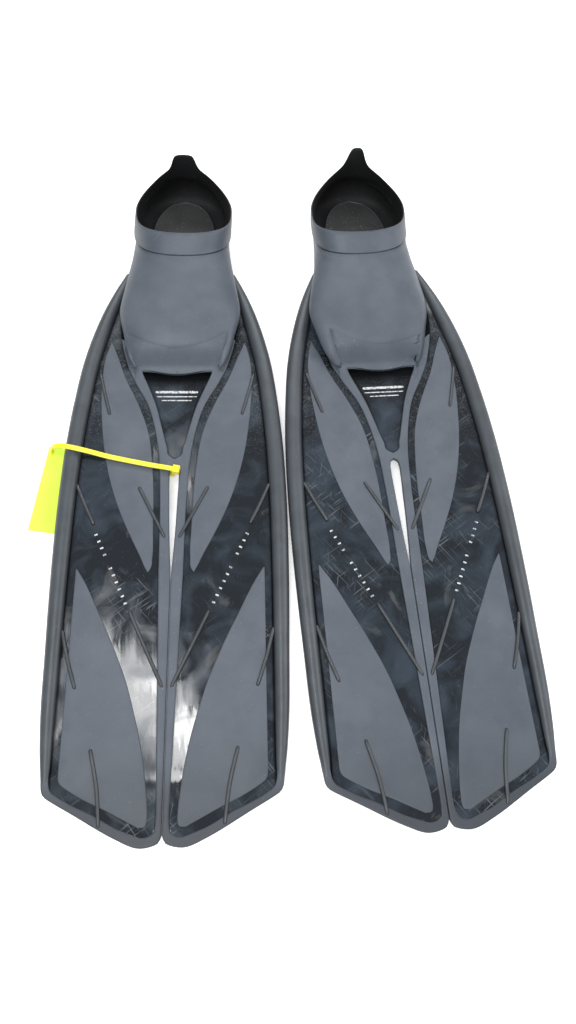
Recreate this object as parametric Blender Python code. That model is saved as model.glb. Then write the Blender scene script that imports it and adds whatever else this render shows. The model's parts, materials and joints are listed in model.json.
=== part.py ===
"""A pair of full-foot split-blade swim fins on the floor, with a cable tie and a blank tag on the left one.

Each fin is drawn in its own frame: X across, Y from the blade's tip to the heel, Z up from the blade's
middle plane. An empty pitches and turns that frame so that the fin stands on its heel and its tips.
"""
import math

import bmesh
import bpy
import numpy as np
from mathutils import Matrix, Vector

# Driving dimensions, in metres and degrees. The outlines below are drawn in millimetres for the drawn
# sizes, and are stretched from them.
BLADE_WIDTH = 0.204        # over both side rails
BLADE_LENGTH = 0.416       # tips to the toe edge of the foot pocket
POCKET_LENGTH = 0.256      # toe edge to the back of the heel
POCKET_WIDTH = 0.1166      # over the ball of the foot
POCKET_HEIGHT = 0.0465     # ankle lip above the blade's middle plane
SOLE_PITCH = 8.15          # how far the sole slopes down from the blade's plane to the heel
POCKET_WALL = 0.003
CUFF_WALL = 0.0036
BLADE_THICKNESS = 0.0032
PANEL_THICKNESS = 0.0044
FRAME_THICKNESS = 0.0050
TRIM_THICKNESS = 0.0046
FOOTBED_THICKNESS = 0.0025
FOOTBED_LIFT = 0.0021      # between the pocket's floor and the footbed
OUTSOLE_THICKNESS = 0.0035
RIB_RADIUS = 0.0014
GAP = 0.0004               # between pieces that touch
FLEX_Y = 0.218             # where each blade half bends, from the tip
FLEX_GAP = 0.0030          # left there between the root and the tip pieces
TIP_SPLIT = 0.0012         # between the two blade halves
FINS_GAP = 0.0010          # between the two fins at their widest
TOE_IN = 1.6               # each fin's turn, heels together
LEFT_TAB = (0.0125, 0.025)     # heel tab: half width, height
RIGHT_TAB = (0.0120, 0.033)
TIE_WIDTH = 0.0045
TIE_THICKNESS = 0.0016
TAG_SIZE = (0.026, 0.082, 0.0006)
TAG_HOLE = 0.0030          # radius
LEAN = 0.006               # how far each foot pocket's rim leans towards the other fin
LEFT_TWIST, RIGHT_TWIST = 0.0, 0.11    # each rim's turn about the ankle's middle, as a slope

DRAWN_WIDTH, DRAWN_POCKET_WIDTH, DRAWN_HEIGHT, DRAWN_PITCH = 0.204, 0.1166, 0.0465, 8.15
DRAWN_STOPS = [0, 218, 416, 672]     # tip, flex line, toe edge and back of the heel, in drawn millimetres
BALL_Y, ANKLE_Y = 482, 603           # the ball of the foot and the middle of the ankle opening
SOLE_START = (425, 2.7)              # where the sole leaves the blade, and its height there
POCKET_SIDES, CUFF_SIDES = 22, 44    # points round a ring

# Edges of the planar pieces as (y, x) in drawn millimetres.
RAIL_LINE = [(43, 89.6), (60, 91.4), (85, 92.9), (151, 94.2), (212, 94.3), (286, 93.3), (343, 90.9),
             (385, 87.3), (432, 81.2), (467, 73.3), (497, 65.2), (516, 59.6)]
RAIL_RADIUS = [(43, 2.6), (60, 3.6), (85, 4.9), (151, 6.4), (212, 7.3), (286, 7.8), (432, 7.8), (467, 7.6),
               (497, 6.0), (516, 4.2)]
ARM_OUTER = [(200, 10.3), (227, 10.7), (293, 12.2), (326, 14.2), (354, 18.4), (382, 25.5), (407, 38.3),
             (421, 43.9), (435, 48.5), (449, 52.7), (467, 56.3)]
SLOT_HALF = [(209, 0.8), (227, 1.3), (255, 2.6), (284, 3.6), (306, 4.2), (314, 3.9), (318, 2.4), (319.6, 0)]
VENT_SIDE = [(325, 0), (327, 3.4), (337, 7.1), (358, 12.9), (382, 20.6), (404, 28.9), (414, 32.6),
             (420, 34.5)]
LEAF_INNER = [(222, 17.4), (230, 15.9), (255, 16.3), (314, 19.1), (354, 25), (385, 36.2), (411, 48.3),
              (440, 58.6), (452, 63.6)]
LEAF_OUTER = [(222, 19.5), (231, 25.9), (252, 37.2), (275, 47.3), (300, 55.9), (329, 63), (366, 68.4),
              (404, 70.8), (434, 69.2), (446, 66.4), (452, 64.6)]
SPLIT_TRIM = [(12, 6.0), (20, 5.2), (34, 5.4), (85, 6.8), (149, 8.6), (218, 10.6)]
# The outline of a blade half's foot, from the split outwards, as (x, y).
FOOT_EDGE = [(0, 7), (3, 3.6), (8, 1.3), (15.3, 0.2), (22, 1.4), (30, 4.8), (44.5, 12), (66, 24.2),
             (86.5, 35.3)]
FOOT_TRIM = [(6, 12), (8.6, 9.3), (12, 8), (16.2, 7.8), (21.3, 9.8), (35, 15), (52.7, 24.7), (68, 31.5),
             (80, 38), (86.5, 44.5)]
TIP_PANEL = [(80, 212), (77.6, 213), (71.8, 207), (65.8, 197), (56, 177), (46.8, 158), (34, 128),
             (26.8, 105.4), (19.7, 79.6), (15, 55.5), (11.9, 33.8), (10.9, 20), (12.4, 15), (17.9, 14.6),
             (29.8, 20.5), (43.9, 27.5), (60.4, 35.2), (75, 43.7), (79.9, 48.5), (80.6, 56), (80.4, 130)]
# Ribs on one blade half, each as its two ends (x, y), on the root piece and on the tip piece.
ROOT_RIBS = {"upper_rib": [(72.5, 416), (61.4, 372.6)], "outer_rib": [(82.0, 294), (67.7, 260)],
             "inner_rib": [(30.2, 296), (6.6, 249)]}
TIP_RIBS = {"long_rib": [(32.7, 181.4), (4.0, 120)], "side_rib": [(83.6, 164), (71.6, 119)]}
ROOT_RAIL_STOPS = [255, 300, 345, 385, 420, 448, 470, 494, 514]
TIP_RAIL_STOPS = [43, 60, 85, 120, 160, 190]
SOLE_HALF = [(425, 44), (450, 51), (482, 57), (515, 53), (548, 48.5), (600, 47), (670, 42)]
# The foot pocket's rings: top y, top z, bottom y, half width, all in drawn millimetres.
POCKET_RINGS = [(416, 8.6, 425, 41), (428, 18, 437, 47.5), (444, 26, 463, 53), (464, 31, 500, 58.3),
                (486, 33.5, 545, 54.5), (504, 34.6, 592, 50), (516, 35.2, 632, 48), (523, 35.5, 655, 48.2)]
HEEL_RINGS = [(525, 35.7, 667, -27, 48.6), (527, 35.9, 672, -15, 49), (529, 36.2, 670.5, -3, 49.3)]
CUFF_RINGS = [(529.6, 36.5, 670.2, -2.3, 49.9), (538, 41, 665, 7, 49.8), (548, 46.5, 659, 16, 49)]

FRAME_END, VENT_FOOT = 419, 326.5
# The cable tie's loop as (distance outboard from the slot, height), in drawn millimetres, and its slant.
TIE_PATH = [(0.6, -4.6), (0.4, 0), (-0.4, 5.4), (6, 5.9), (24, 4.8), (58, 5.4), (78, 8.4), (93, 9.9),
            (104, 9.0), (112, 4), (115, -3), (115.4, -9.2), (113.6, -13), (106, -14.2), (84, -12.6), (58, -9),
            (24, -6.2), (5, -5.8)]
TIE_START = (0, 312.9)
TIE_SLANT = 12.4
TAG_PLACE = (115.3, -9.2)  # where the tag's hole sits on the loop
TAG_DROOP, TAG_TURN = 4.1, 9.0

COLOURS = {"soft_rubber": (0.145, 0.16, 0.18), "rail_rubber": (0.08, 0.09, 0.10),
           "hard_plastic": (0.02, 0.03, 0.04), "lining": (0.05, 0.055, 0.06),
           "tie_nylon": (0.9, 0.8, 0.03), "tag_card": (0.75, 1.0, 0.1)}


def clear_scene():
    for item in list(bpy.data.objects):
        bpy.data.objects.remove(item)


def make_material(name):
    material = bpy.data.materials.new(name)
    material.use_nodes = True
    shader = material.node_tree.nodes["Principled BSDF"]
    shader.inputs["Base Color"].default_value = (*COLOURS[name], 1)
    shader.inputs["Roughness"].default_value = 0.25 if name == "hard_plastic" else 0.6
    return material


def read(table, at):
    """The smooth curve through a table's (position, value) rows, read at a position."""
    place, value = np.array(table, float).T
    slope = np.gradient(value, place)
    i = int(np.clip(np.searchsorted(place, at) - 1, 0, len(place) - 2))
    span = place[i + 1] - place[i]
    t = min(max((at - place[i]) / span, 0.0), 1.0)
    return float(value[i] * (1 + 2 * t) * (1 - t) ** 2 + value[i + 1] * t * t * (3 - 2 * t)
                 + span * (slope[i] * t * (1 - t) ** 2 - slope[i + 1] * t * t * (1 - t)))


def through(points, steps=2, closed=False):
    """A smooth line through hand-placed points (Catmull-Rom)."""
    rows = [np.array(p, float) for p in points]
    count = len(rows)
    line = []
    for i in range(count if closed else count - 1):
        if closed:
            a, b, c, d = (rows[(i + k) % count] for k in (-1, 0, 1, 2))
        else:
            a, b, c, d = rows[max(i - 1, 0)], rows[i], rows[i + 1], rows[min(i + 2, count - 1)]
        for k in range(steps):
            t = k / steps
            line.append(0.5 * (2 * b + (c - a) * t + (2 * a - 5 * b + 4 * c - d) * t * t
                               + (3 * b - a - 3 * c + d) * t ** 3))
    if not closed:
        line.append(rows[-1])
    return line


def lay(x, y):
    """A drawn point's place in metres: the tips, the rest of the blade and the pocket stretch separately."""
    share = min(max((y - DRAWN_STOPS[2]) / (BALL_Y - DRAWN_STOPS[2]), 0), 1)
    stretch = BLADE_WIDTH / DRAWN_WIDTH * (1 - share) + POCKET_WIDTH / DRAWN_POCKET_WIDTH * share
    return Vector((x * stretch / 1000, float(np.interp(y, DRAWN_STOPS, real_stops()))))


def real_stops():
    """Where the tip, the flex line, the toe edge and the back of the heel lie, in metres."""
    return [0.0, FLEX_Y, BLADE_LENGTH, BLADE_LENGTH + POCKET_LENGTH]


def drawn_y(y):
    """The drawn millimetre that lies at a distance y in metres from the tip."""
    return float(np.interp(y, real_stops(), DRAWN_STOPS))


def offset(outline, distance):
    """A closed outline, counter-clockwise, grown by a distance, or shrunk by a negative one."""
    grown = []
    for i, here in enumerate(outline):
        before = (here - outline[i - 1]).normalized()
        after = (outline[(i + 1) % len(outline)] - here).normalized()
        out = Vector((before.y + after.y, -before.x - after.x)).normalized()
        grown.append(here + out * distance / max(out.dot(Vector((before.y, -before.x))), 0.5))
    return grown


def turned_ccw(outline):
    area = sum(a.x * b.y - a.y * b.x for a, b in zip(outline, outline[1:] + outline[:1]))
    return outline if area > 0 else outline[::-1]


def closed_outline(points, grow=0.0):
    return offset(turned_ccw([lay(x, y) for x, y in points]), grow)


def mirrored(points, side):
    return [(x * side, y) for x, y in points]


def sheet(name, outlines, low, high, material, parent):
    """A flat plate between two heights, from a filled 2D curve whose later outlines are its holes."""
    curve = bpy.data.curves.new(name, "CURVE")
    curve.dimensions = "2D"
    curve.fill_mode = "BOTH"
    curve.extrude = (high - low) / 2
    for outline in outlines:
        spline = curve.splines.new("POLY")
        spline.points.add(len(outline) - 1)
        for point, place in zip(spline.points, outline):
            point.co = (place.x, place.y, 0, 1)
        spline.use_cyclic_u = True
    return place_object(name, curve, (0, 0, (low + high) / 2), material, parent)


def rod(name, points, radii, material, parent):
    """A round bar along points, with its own radius at each one."""
    curve = bpy.data.curves.new(name, "CURVE")
    curve.dimensions = "3D"
    curve.bevel_depth = 1.0
    curve.bevel_resolution = 2
    curve.use_fill_caps = True
    spline = curve.splines.new("POLY")
    spline.points.add(len(points) - 1)
    for point, place, radius in zip(spline.points, points, radii):
        point.co = (*place, 1)
        point.radius = radius
    return place_object(name, curve, (0, 0, 0), material, parent)


def place_object(name, data, location, material, parent):
    """Places a piece drawn in its fin's frame under an empty of that fin, on a hinge or at its origin."""
    item = bpy.data.objects.new(name, data)
    item.location = Vector(location) - (parent.location if parent.name.endswith("_hinge") else Vector())
    item.parent = parent
    data.materials.append(material)
    parts.objects.link(item)
    return item


def make_empty(name, location, parent=None):
    empty = bpy.data.objects.new(name, None)
    empty.location = location
    empty.parent = parent
    parts.objects.link(empty)
    return empty


def sole_z(y):
    """Height of the foot pocket's underside in millimetres: it clears the blade, then slopes to the heel."""
    start, height = SOLE_START
    return height - (lay(0, y).y - lay(0, start).y) * 1000 * math.tan(math.radians(SOLE_PITCH))


def sideways(point, lean):
    """How far to the side a foot pocket's middle line lies at a point, for a lean of a shift and a slope."""
    shift, slope = lean
    return (shift + slope * (point.y - lay(0, ANKLE_Y).y)) * max(point.z, 0) / POCKET_HEIGHT


def ring_points(ring, inset, count, boxy, lean):
    """One closed ring of a foot pocket wall, inset from its outer surface by a wall in metres.
    It leans and turns sideways in proportion to its height; lean is a sideways shift and a slope."""
    top_y, top_z, bottom_y, bottom_z, half_width = ring
    lift = POCKET_HEIGHT / DRAWN_HEIGHT
    top = Vector((0, lay(0, top_y).y, top_z * lift / 1000))
    bottom = Vector((0, lay(0, bottom_y).y, bottom_z / 1000))
    width = lay(half_width, (top_y + bottom_y) / 2).x - inset
    centre, half = (top + bottom) / 2, (top - bottom) / 2
    half = half * (1 - inset / half.length)
    made = []
    for i in range(count):
        angle = 2 * math.pi * i / count
        across, along = math.sin(angle), math.cos(angle)
        power = boxy if along < 0 else 0.5 + boxy / 2
        x = math.copysign(abs(across) ** power, across) * width
        point = centre + half * math.copysign(abs(along) ** power, along)
        point.x = x + sideways(point, lean)
        made.append(point)
    return made


def wall_mesh(name, outer, inner):
    """A closed wall between matching grids of outer and inner rings, open at both ends of the grid."""
    rings = outer + inner[::-1]
    count = len(outer[0])
    faces = []
    for i in range(len(rings)):
        following = (i + 1) % len(rings)
        for k in range(count):
            side = (k + 1) % count
            faces.append((i * count + k, i * count + side, following * count + side, following * count + k))
    mesh = bpy.data.meshes.new(name)
    mesh.from_pydata([p for ring in rings for p in ring], [], faces)
    mesh.shade_smooth()
    mesh.set_sharp_from_angle(angle=math.radians(50))
    return mesh


def pocket_rings():
    """The foot pocket from its toe opening to the ankle seam, as smooth rows through the drawn rings."""
    rings = [(ty, tz, by, sole_z(by), w) for ty, tz, by, w in POCKET_RINGS]
    sole_end = POCKET_RINGS[-1][2]
    drawn_end = SOLE_START[1] - (sole_end - SOLE_START[0]) * math.tan(math.radians(DRAWN_PITCH))
    drop = sole_z(sole_end) - drawn_end
    rings += [(ty, tz, by, bz + drop * (1 - i / 3), w) for i, (ty, tz, by, bz, w) in enumerate(HEEL_RINGS)]
    return rings


def foot_pocket(fin, lean, parent):
    rings = through(pocket_rings(), steps=1)
    boxes = np.interp(range(len(rings)), [0, 7, 10], [0.45, 0.5, 0.95])
    outer = [ring_points(ring, 0, POCKET_SIDES, boxy, lean) for ring, boxy in zip(rings, boxes)]
    inner = [ring_points(ring, POCKET_WALL, POCKET_SIDES, boxy, lean) for ring, boxy in zip(rings, boxes)]
    wall = wall_mesh(fin, outer, inner)
    place_object(fin + "_foot_pocket", wall, (0, 0, 0), materials["soft_rubber"], parent)


def cuff(fin, tab, lean, parent):
    """The ankle cuff above the seam; its rim rises into the pull tab at the heel."""
    tab_half, tab_height = tab
    rows_outer, rows_inner = [], []
    for row, ring in enumerate(CUFF_RINGS):
        share = row / (len(CUFF_RINGS) - 1)
        for inset, rows in ((0, rows_outer), (CUFF_WALL, rows_inner)):
            made = ring_points(ring, inset, CUFF_SIDES, 0.95, lean)
            for point in made:
                at_heel = point.y > lay(0, 600).y
                off_middle = abs(point.x - sideways(point, lean))
                edge = min(max((1.35 * tab_half - off_middle) / (0.7 * tab_half), 0), 1)
                if at_heel and share > 0.4:
                    point.z += tab_height * edge * (2 * share - 1 if share < 1 else 1)
            rows.append(made)
    place_object(fin + "_ankle_cuff", wall_mesh(fin, rows_outer, rows_inner), (0, 0, 0),
                 materials["soft_rubber"], parent)


def sole_plate(name, start, end, share, low, high, material, parent):
    """A plate along the sole's slope, between two drawn distances, at heights above the sole's line."""
    right, left = [], []
    for k in range(9):
        y = start + (end - start) * k / 8
        round_off = math.sqrt(max(1 - ((k - 4) / 4.3) ** 6, 0.05))
        half = share * read(SOLE_HALF, y)
        right.append((half * round_off, y))
        left.append((-half * round_off, y))
    outline = closed_outline(right + left[::-1])
    slope = Vector((lay(0, end).y - lay(0, start).y, (sole_z(end) - sole_z(start)) / 1000))
    origin = Vector((0, lay(0, start).y, sole_z(start) / 1000))
    stretched = [Vector((p.x, (p.y - origin.y) * slope.length / slope.x)) for p in outline]
    plate = sheet(name, [stretched], low, high, material, parent)
    tilt = math.atan2(slope.y, slope.x)
    middle = (low + high) / 2
    plate.location = origin + Vector((0, -math.sin(tilt) * middle, math.cos(tilt) * middle))
    plate.rotation_euler = (tilt, 0, 0)


def rows(table, start, end, count):
    """Points (x, y) along an edge table between two drawn distances."""
    return [(read(table, y), float(y)) for y in np.linspace(start, end, count)]


def plate_edge(y):
    """Where the hard plate ends beside the rail."""
    return read(RAIL_LINE, y) - read(RAIL_RADIUS, y)


def blade_root(fin, parent, low):
    """The hard plate from the flex line to the toes: a notch for the foot pocket, a tongue under the vent,
    a cut for the frame's arms and legs, and a window for each leaf panel."""
    edge = [(plate_edge(y), float(y)) for y in np.linspace(low, 478, 12)]
    notch = [(60.5, 476), (57.5, 462), (54.0, 449), (50.0, 436), (47.0, 428.6)]
    cut = rows(ARM_OUTER, low, FRAME_END, 12)
    tongue = rows(VENT_SIDE, VENT_FOOT, FRAME_END, 8)
    outer = edge + notch
    points = (outer + mirrored(outer, -1)[::-1] + mirrored(cut, -1) + mirrored(tongue, -1)[::-1] + tongue
              + cut[::-1])
    leaf = leaf_outline()
    windows = [closed_outline(mirrored(leaf, side), GAP / 2) for side in (1, -1)]
    sheet(fin + "_blade_root", [closed_outline(points, -GAP / 2)] + windows,
          -BLADE_THICKNESS / 2, BLADE_THICKNESS / 2, materials["hard_plastic"], parent)


def leaf_outline():
    inner = rows(LEAF_INNER, 222, 452, 11)
    outer = rows(LEAF_OUTER, 222, 452, 13)
    return inner + outer[::-1]


def y_frame(fin, parent, low):
    """The soft frame: two arms round the vent that join into two legs beside the slot."""
    outer = rows(ARM_OUTER, low, FRAME_END, 12)
    vent = rows(VENT_SIDE, VENT_FOOT, FRAME_END, 8)
    slot = rows(SLOT_HALF, low, 319, 9)
    points = (outer + vent[::-1] + mirrored(vent, -1) + mirrored(outer, -1)[::-1] + mirrored(slot, -1)
              + slot[::-1])
    sheet(fin + "_y_frame", [closed_outline(points, -GAP / 2)], -FRAME_THICKNESS / 2, FRAME_THICKNESS / 2,
          materials["soft_rubber"], parent)


def rail(name, side, distances, bend_at, parent):
    """A side rail through drawn distances; it is thin at the flex line, so that it can bend there."""
    points, radii = [], []
    for y in distances:
        place = lay(read(RAIL_LINE, y) * side, y)
        points.append((place.x, place.y, 0))
        full = read(RAIL_RADIUS, y) / 1000 - GAP
        radii.append(full * 0.35 if y == bend_at else full)
    rod(name, points, radii, materials["rail_rubber"], parent)


def ribs(prefix, side, table, parent):
    height = FRAME_THICKNESS / 2 + GAP + RIB_RADIUS
    for name, ends in table.items():
        points = [(*lay(x * side, y), height) for x, y in through(ends, 2)]
        rod(f"{prefix}_{name}", points, [RIB_RADIUS] * len(points), materials["hard_plastic"], parent)


def tip_half(fin, half, side, hinge, high):
    """A blade half beyond the flex line: the hard plate, its soft edge, its rail, a panel and ribs."""
    split = TIP_SPLIT * 500
    shared = [(x, y) for x, y in rows(SPLIT_TRIM, high, 14, 10)] + FOOT_TRIM
    rim = [(split, high), (split, 9)] + [(max(x, split), y) for x, y in through(FOOT_EDGE[1:], 2)]
    trim = rim + shared[::-1]
    edge = [(plate_edge(y), float(y)) for y in np.linspace(47, high, 9)]
    prefix = f"{fin}_{half}"
    sheet(prefix + "_blade_tip", [closed_outline(mirrored(shared + edge, side), -GAP / 2),
                                  closed_outline(mirrored(TIP_PANEL, side), GAP / 2)],
          -BLADE_THICKNESS / 2, BLADE_THICKNESS / 2, materials["hard_plastic"], hinge)
    sheet(prefix + "_edge_trim", [closed_outline(mirrored(trim, side), -GAP / 2)],
          -TRIM_THICKNESS / 2, TRIM_THICKNESS / 2, materials["soft_rubber"], hinge)
    sheet(prefix + "_tip_panel", [closed_outline(mirrored(TIP_PANEL, side), -GAP / 2)],
          -PANEL_THICKNESS / 2, PANEL_THICKNESS / 2, materials["soft_rubber"], hinge)
    rail(prefix + "_rail_tip", side, [*TIP_RAIL_STOPS, high - 5, high], high, hinge)
    ribs(prefix, side, TIP_RIBS, hinge)


def make_fin(fin, root, sides, tab, lean):
    """Every piece of one fin, in the fin's own frame."""
    low, high = drawn_y(FLEX_Y + FLEX_GAP / 2), drawn_y(FLEX_Y - FLEX_GAP / 2)
    foot_pocket(fin, lean, root)
    cuff(fin, tab, lean, root)
    bed = POCKET_WALL + FOOTBED_LIFT
    sole_plate(fin + "_footbed", 452, 655, 0.66, bed, bed + FOOTBED_THICKNESS, materials["lining"], root)
    tread = -GAP - OUTSOLE_THICKNESS
    sole_plate(fin + "_outsole", 446, 662, 0.8, tread, -GAP, materials["rail_rubber"], root)
    blade_root(fin, root, low)
    y_frame(fin, root, low)
    for half, side in sides.items():
        prefix = f"{fin}_{half}"
        leaf = mirrored(leaf_outline(), side)
        sheet(prefix + "_leaf_panel", [closed_outline(leaf, -GAP / 2)],
              -PANEL_THICKNESS / 2, PANEL_THICKNESS / 2, materials["soft_rubber"], root)
        rail(prefix + "_rail_root", side, [low, low + 5, *ROOT_RAIL_STOPS], low, root)
        ribs(prefix, side, ROOT_RIBS, root)
        hinge = make_empty(prefix + "_flex_hinge", (side * BLADE_WIDTH / 4, FLEX_Y, 0), root)
        tip_half(fin, half, side, hinge, high)


def solid_copy(item):
    """A curve object as a mesh object in its place, with its caps welded, for a Boolean."""
    bpy.context.view_layer.update()
    evaluated = item.evaluated_get(bpy.context.evaluated_depsgraph_get())
    mesh = bpy.data.meshes.new_from_object(evaluated)
    shape = bmesh.new()
    shape.from_mesh(mesh)
    bmesh.ops.remove_doubles(shape, verts=shape.verts, dist=0.00001)
    shape.to_mesh(mesh)
    shape.free()
    copy = bpy.data.objects.new(item.name, mesh)
    copy.parent = item.parent
    copy.matrix_world = item.matrix_world
    bpy.data.objects.remove(item)
    return copy


def cable_tie(root, side):
    """A closed nylon strap up through the slot and round the outboard rail, with its square head."""
    stretch = BLADE_WIDTH / DRAWN_WIDTH
    path = [Vector((x * stretch / 1000, y / 1000)) for x, y in through(TIE_PATH, 2, closed=True)]
    loop = turned_ccw(path)
    strap = sheet("strap", [offset(loop, TIE_THICKNESS / 2), offset(loop, -TIE_THICKNESS / 2)],
                  -TIE_WIDTH / 2, TIE_WIDTH / 2, materials["tie_nylon"], root)
    start = lay(*TIE_START)
    turn = math.radians(180 - TIE_SLANT) if side < 0 else math.radians(TIE_SLANT)
    strap.location = (start.x, start.y, 0)
    strap.rotation_euler = (math.radians(90), 0, turn)
    cutter = solid_copy(strap)
    cutter.name = "strap_cutter"
    cutter.display_type = "WIRE"
    cutter.hide_render = True
    cutters.objects.link(cutter)
    bpy.ops.mesh.primitive_cube_add(size=1)
    head = bpy.context.object
    head.name = "left_cable_tie"
    for group in list(head.users_collection):
        group.objects.unlink(head)
    parts.objects.link(head)
    head.data.transform(Matrix.Diagonal((0.0066, 0.0056, 0.0072, 1)))
    head.data.transform(Matrix.Translation((-0.0020, 0.0055, 0)))
    head.parent = root
    head.matrix_world = cutter.matrix_world
    head.data.materials.append(materials["tie_nylon"])
    joined = head.modifiers.new("strap", "BOOLEAN")
    joined.operation = "UNION"
    joined.object = cutter


def tag(root, side):
    """A blank card that hangs by a corner hole on the outboard end of the loop."""
    width, length, thickness = TAG_SIZE
    slant = math.radians(TIE_SLANT)
    start = lay(*TIE_START)
    out = TAG_PLACE[0] * BLADE_WIDTH / DRAWN_WIDTH / 1000
    hinge = make_empty("tag_hinge", (start.x + side * out * math.cos(slant), start.y + out * math.sin(slant),
                                     TAG_PLACE[1] / 1000), root)
    corner = Vector((-0.0045, -length + 0.0055))
    sizes = ((0, 0), (width, 0), (width, length), (0, length))
    card = [corner + Vector(size) for size in sizes]
    hole = [Vector((math.cos(a), math.sin(a))) * TAG_HOLE for a in np.linspace(0, 2 * math.pi, 17)[:-1]]
    piece = sheet("tag", [card, hole], -thickness / 2, thickness / 2, materials["tag_card"], root)
    piece.parent = hinge
    piece.location = (0, 0, 0)
    piece.rotation_euler = (math.radians(TAG_DROOP), 0, -math.radians(TAG_TURN))


def reach(root):
    """Every point of the pieces under an empty, measured on the built meshes."""
    bpy.context.view_layer.update()
    graph = bpy.context.evaluated_depsgraph_get()
    points = []
    for item in parts.objects:
        if item.type != "EMPTY" and root in (item.parent, item.parent.parent):
            evaluated = item.evaluated_get(graph)
            points += [item.matrix_world @ vertex.co for vertex in evaluated.to_mesh().vertices]
            evaluated.to_mesh_clear()
    return np.array(points)


def stand_fins(roots):
    """Pitches each fin on to its heel and its tips, turns the heels in, and centres the pair on the floor."""
    heel = Vector((lay(0, 662).y, sole_z(662) / 1000 - GAP - OUTSOLE_THICKNESS))
    pitch = math.atan2(-heel.y - TRIM_THICKNESS / 2, heel.x)
    spread = BLADE_WIDTH / 2 + FINS_GAP / 2 + 0.6 * BLADE_LENGTH * math.sin(math.radians(TOE_IN))
    for place, root in zip((-1, 1), roots):
        root.rotation_euler = (pitch, 0, math.radians(TOE_IN * place))
        root.location = (place * spread, 0, 0)
        root.location.z = -reach(root)[:, 2].min()
    points = np.vstack([reach(root) for root in roots])
    middle = (points.min(0) + points.max(0)) / 2
    for root in roots:
        root.location.x -= middle[0]
        root.location.y -= middle[1]


def new_collection(name):
    collection = bpy.data.collections.new(name)
    bpy.context.scene.collection.children.link(collection)
    return collection


def main():
    roots = []
    left = ("left", {"outboard": -1, "inboard": 1}, LEFT_TAB, (LEAN, LEFT_TWIST))
    right = ("right", {"inboard": -1, "outboard": 1}, RIGHT_TAB, (-LEAN, RIGHT_TWIST))
    for fin, halves, tab, lean in (left, right):
        roots.append(make_empty(fin + "_fin", (0, 0, 0)))
        make_fin(fin, roots[-1], halves, tab, lean)
    cable_tie(roots[0], -1)
    tag(roots[0], -1)
    stand_fins(roots)


clear_scene()
parts = new_collection("swim_fins")
cutters = new_collection("cutters")
materials = {name: make_material(name) for name in COLOURS}
main()
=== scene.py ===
import json
import math

import bmesh
import bpy
import numpy as np
from mathutils import Matrix, Vector
from mathutils.bvhtree import BVHTree


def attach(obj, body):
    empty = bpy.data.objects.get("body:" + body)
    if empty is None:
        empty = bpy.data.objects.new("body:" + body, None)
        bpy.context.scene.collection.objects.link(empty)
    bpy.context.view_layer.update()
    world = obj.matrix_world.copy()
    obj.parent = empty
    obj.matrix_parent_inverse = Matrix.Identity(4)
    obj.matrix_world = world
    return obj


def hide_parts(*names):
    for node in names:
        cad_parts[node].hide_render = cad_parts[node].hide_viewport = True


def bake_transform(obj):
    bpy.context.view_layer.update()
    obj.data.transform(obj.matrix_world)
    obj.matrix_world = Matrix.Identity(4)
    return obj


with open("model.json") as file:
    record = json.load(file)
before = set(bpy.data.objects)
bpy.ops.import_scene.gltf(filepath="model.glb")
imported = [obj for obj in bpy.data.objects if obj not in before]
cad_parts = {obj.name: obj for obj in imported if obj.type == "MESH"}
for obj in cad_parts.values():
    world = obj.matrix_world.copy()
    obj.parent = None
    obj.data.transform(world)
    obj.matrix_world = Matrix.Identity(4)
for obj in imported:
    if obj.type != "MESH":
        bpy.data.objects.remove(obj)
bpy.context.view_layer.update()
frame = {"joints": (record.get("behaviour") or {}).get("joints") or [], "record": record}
print("frame loaded")

# lines shared by the blade's pieces are (y, x) in drawn millimetres, y from the tip to the heel
blade = {
    "flex": 218, "bendHalf": 17, "plateHalf": 1.6, "panelHalf": 2.2, "frameHalf": 2.45, "railFlat": 0.86,
    # where the split ends, the slot ends and the vent runs, and the half gaps of the split and of a closed seam
    "splitEnd": 209, "slotEnd": 319.6, "vent": (325, 420), "splitGap": 0.22, "closed": 0.02,
    "rail": [(38, 87.8), (43, 89.2), (60, 90.6), (85, 91.9), (151, 93.2), (212, 93.9), (286, 93.3),
             (343, 90.9), (385, 87.3), (432, 81.2), (467, 73.3), (497, 65.2), (516, 59.0), (534, 52.0)],
    "railRadius": [(38, 1.5), (43, 2.4), (60, 4.2), (85, 5.5), (151, 6.6), (212, 7.3), (286, 7.8),
                   (432, 7.8), (467, 7.6), (497, 6.2), (516, 4.8), (534, 3.6)],
    "armOuter": [(200, 10.3), (227, 10.7), (293, 12.2), (326, 14.2), (354, 18.6), (382, 26.6),
                 (407, 39.6), (421, 45.8), (435, 50.2), (449, 53.8), (467, 56.6)],
    "slotEdge": [(209, 0.22), (218, 0.5), (229, 1.2), (255, 2.6), (284, 3.6), (306, 4.2), (314, 3.9),
                 (318, 2.4), (319.6, 0.02)],
    "ventEdge": [(325, 0.02), (327, 3.4), (337, 7.1), (358, 12.6), (382, 19.0), (404, 27.4),
                 (414, 31.7), (420, 33.8)],
    "splitTrim": [(12, 6.0), (20, 5.2), (34, 5.4), (85, 6.8), (149, 8.6), (218, 10.6)],
}
fins = {
    "left": {"lean": (6.0, 0.0), "tab": (12.5, 25.0), "halves": {"outboard": -1, "inboard": 1}},
    "right": {"lean": (-6.0, 0.11), "tab": (12.0, 33.0), "halves": {"inboard": -1, "outboard": 1}},
}


def fromAxes(x, y, z, origin):
    return Matrix(((x.x, y.x, z.x, origin.x), (x.y, y.y, z.y, origin.y), (x.z, y.z, z.z, origin.z), (0, 0, 0, 1)))


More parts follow.
